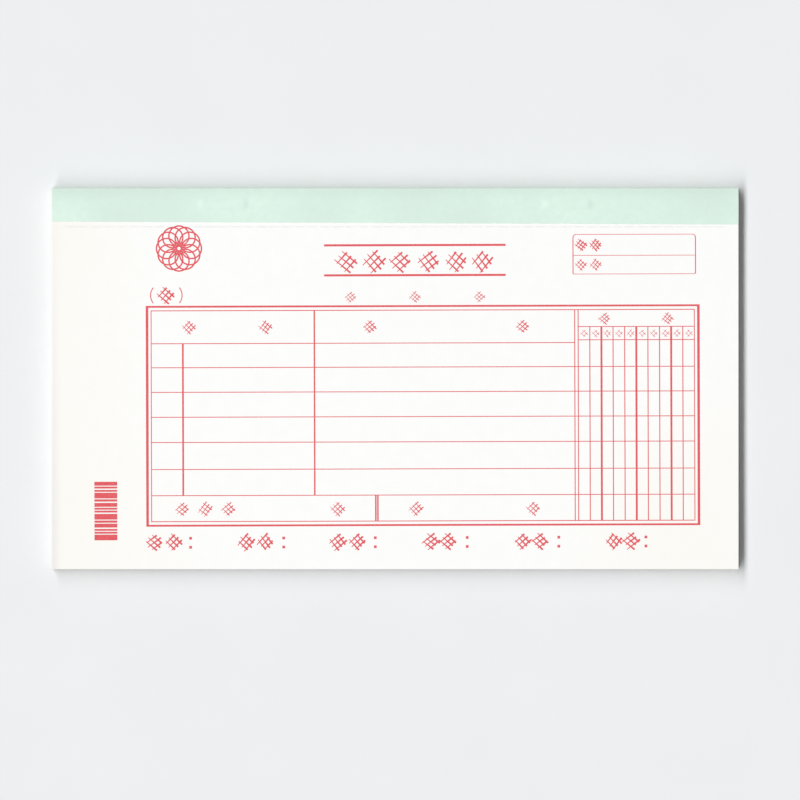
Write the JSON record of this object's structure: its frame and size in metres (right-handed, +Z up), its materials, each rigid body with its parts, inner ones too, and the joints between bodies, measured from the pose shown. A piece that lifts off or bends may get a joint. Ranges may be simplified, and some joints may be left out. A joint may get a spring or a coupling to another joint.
{
  "type": "voucher pad",
  "caption": "Oblong pad of ruled paper vouchers on a greyboard back, stapled and taped round the head, with a top leaf that turns back and tears off.",
  "frame": {"origin": "under the middle of the pad, on the face it rests on", "axes": "+X across the pad to the reader's right, +Y towards the bound head, +Z up off the table"},
  "size_m": [0.2286, 0.127, 0.0055],
  "materials": {
    "voucher_paper": "uncoated off-white bond, matte, faint fibre",
    "binding_tape": "pale green paper binding tape, matte with fine grain",
    "greyboard": "recycled greyboard, matte, flecked",
    "staple_wire": "galvanised steel wire",
    "form_ink": "rose red offset ink on the paper, matte"
  },
  "bodies": {
    "pad": {"backing_board": "greyboard", "leaf_50": "voucher_paper", "leaf_49": "voucher_paper", "leaf_48": "voucher_paper", "leaf_47": "voucher_paper", "leaf_46": "voucher_paper", "leaf_45": "voucher_paper", "leaf_44": "voucher_paper", "leaf_43": "voucher_paper", "leaf_42": "voucher_paper", "leaf_41": "voucher_paper", "leaf_40": "voucher_paper", "leaf_39": "voucher_paper", "leaf_38": "voucher_paper", "leaf_37": "voucher_paper", "leaf_36": "voucher_paper", "leaf_35": "voucher_paper", "leaf_34": "voucher_paper", "leaf_33": "voucher_paper", "leaf_32": "voucher_paper", "leaf_31": "voucher_paper", "leaf_30": "voucher_paper", "leaf_29": "voucher_paper", "leaf_28": "voucher_paper", "leaf_27": "voucher_paper", "leaf_26": "voucher_paper", "leaf_25": "voucher_paper", "leaf_24": "voucher_paper", "leaf_23": "voucher_paper", "leaf_22": "voucher_paper", "leaf_21": "voucher_paper", "leaf_20": "voucher_paper", "leaf_19": "voucher_paper", "leaf_18": "voucher_paper", "leaf_17": "voucher_paper", "leaf_16": "voucher_paper", "leaf_15": "voucher_paper", "leaf_14": "voucher_paper", "leaf_13": "voucher_paper", "leaf_12": "voucher_paper", "leaf_11": "voucher_paper", "leaf_10": "voucher_paper", "leaf_09": "voucher_paper", "leaf_08": "voucher_paper", "leaf_07": "voucher_paper", "leaf_06": "voucher_paper", "leaf_05": "voucher_paper", "leaf_04": "voucher_paper", "leaf_03": "voucher_paper", "leaf_02": "voucher_paper", "stub_01": "voucher_paper", "staple_left": "staple_wire", "staple_right": "staple_wire", "binding_tape": "binding_tape"},
    "tear_strip": {"tear_strip_01": "voucher_paper"},
    "voucher": {"voucher_01": "voucher_paper"}
  },
  "joints": [
    {"name": "voucher_turn", "type": "hinge", "parent": "pad", "child": "tear_strip", "pos_m": [0, 0.0513, 0.0051], "axis": [-1, 0, 0], "range_deg": [0, 175]},
    {"name": "voucher_pull_off", "type": "slide", "parent": "tear_strip", "child": "voucher", "axis": [0, -1, 0], "range_m": [0, 0.12]}
  ]
}
